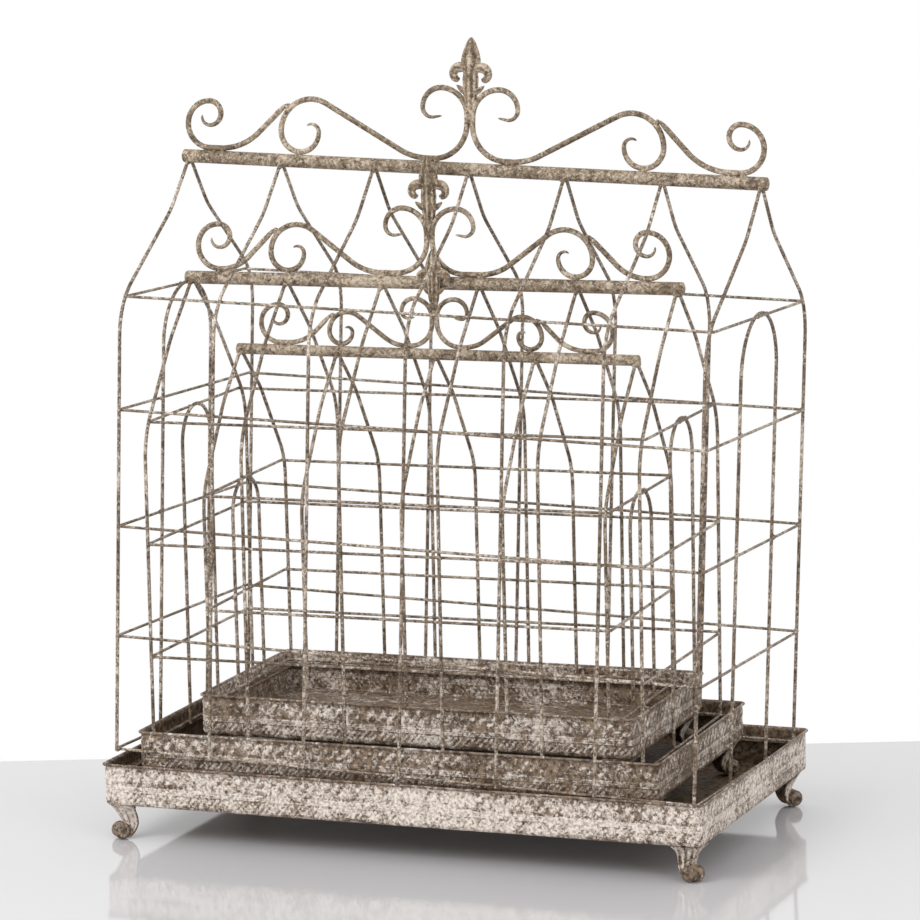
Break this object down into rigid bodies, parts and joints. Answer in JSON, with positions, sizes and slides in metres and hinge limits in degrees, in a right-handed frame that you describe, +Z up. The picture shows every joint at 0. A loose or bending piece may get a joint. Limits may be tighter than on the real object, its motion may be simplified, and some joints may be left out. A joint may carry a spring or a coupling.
{
  "type": "nested wire bird cage set",
  "caption": "Nested set of rectangular wire bird cages with gabled roofs, scrolled ridge crests and fleur finials, each lifting off a footed metal tray.",
  "frame": {"origin": "on the floor under the middle of the whole set", "axes": "+Z up, +X along the ridge tubes, -Y towards the front"},
  "size_m": [0.6364, 0.3498, 0.7821],
  "materials": {
    "whitewashed_metal": "aged whitewash over brown metal, mottled, matt",
    "wire_metal": "aged taupe paint with fine pale speckle, matt",
    "crest_metal": "aged tan paint with brown speckle, matt"
  },
  "bodies": {
    "large_tray": {"large_tray": "whitewashed_metal", "large_foot_front_left": "whitewashed_metal", "large_foot_front_right": "whitewashed_metal", "large_foot_back_left": "whitewashed_metal", "large_foot_back_right": "whitewashed_metal"},
    "large_cage": {"large_front_uprights": "wire_metal", "large_back_uprights": "wire_metal", "large_bottom_ring": "wire_metal", "large_ring_1": "wire_metal", "large_ring_2": "wire_metal", "large_ring_3": "wire_metal", "large_ring_4": "wire_metal", "large_left_arch": "wire_metal", "large_right_arch": "wire_metal", "large_ridge_tube": "crest_metal", "large_ridge_plugs": "crest_metal", "large_outer_scrolls": "crest_metal", "large_inner_scrolls": "crest_metal", "large_heart_scrolls": "crest_metal", "large_finial": "crest_metal"},
    "middle_tray": {"middle_tray": "whitewashed_metal", "middle_foot_front_left": "whitewashed_metal", "middle_foot_front_right": "whitewashed_metal", "middle_foot_back_left": "whitewashed_metal", "middle_foot_back_right": "whitewashed_metal"},
    "middle_cage": {"middle_front_uprights": "wire_metal", "middle_back_uprights": "wire_metal", "middle_bottom_ring": "wire_metal", "middle_ring_1": "wire_metal", "middle_ring_2": "wire_metal", "middle_ring_3": "wire_metal", "middle_left_arch": "wire_metal", "middle_right_arch": "wire_metal", "middle_ridge_tube": "crest_metal", "middle_ridge_plugs": "crest_metal", "middle_outer_scrolls": "crest_metal", "middle_inner_scrolls": "crest_metal", "middle_heart_scrolls": "crest_metal", "middle_finial": "crest_metal"},
    "small_tray": {"small_tray": "whitewashed_metal", "small_foot_front_left": "whitewashed_metal", "small_foot_front_right": "whitewashed_metal", "small_foot_back_left": "whitewashed_metal", "small_foot_back_right": "whitewashed_metal"},
    "small_cage": {"small_front_uprights": "wire_metal", "small_back_uprights": "wire_metal", "small_bottom_ring": "wire_metal", "small_ring_1": "wire_metal", "small_ring_2": "wire_metal", "small_left_arch": "wire_metal", "small_right_arch": "wire_metal", "small_ridge_tube": "crest_metal", "small_ridge_plugs": "crest_metal", "small_outer_scrolls": "crest_metal", "small_inner_scrolls": "crest_metal", "small_heart_scrolls": "crest_metal", "small_finial": "crest_metal"}
  },
  "joints": [
    {"name": "large_cage_lift", "type": "slide", "parent": "large_tray", "child": "large_cage", "axis": [0, 0, 1], "range_m": [0, 1.3]},
    {"name": "middle_tray_lift", "type": "slide", "parent": "large_tray", "child": "middle_tray", "axis": [0, 0, 1], "range_m": [0, 0.06]},
    {"name": "middle_cage_lift", "type": "slide", "parent": "middle_tray", "child": "middle_cage", "axis": [0, 0, 1], "range_m": [0, 0.62]},
    {"name": "small_tray_lift", "type": "slide", "parent": "middle_tray", "child": "small_tray", "axis": [0, 0, 1], "range_m": [0, 0.06]},
    {"name": "small_cage_lift", "type": "slide", "parent": "small_tray", "child": "small_cage", "axis": [0, 0, 1], "range_m": [0, 0.06]}
  ],
  "couplings": [
    {"joint": "middle_tray_lift", "follows": "large_cage_lift", "ratio": 0.046153},
    {"joint": "middle_cage_lift", "follows": "large_cage_lift", "ratio": 0.47692},
    {"joint": "small_tray_lift", "follows": "large_cage_lift", "ratio": 0.046153},
    {"joint": "small_cage_lift", "follows": "large_cage_lift", "ratio": 0.046153}
  ]
}
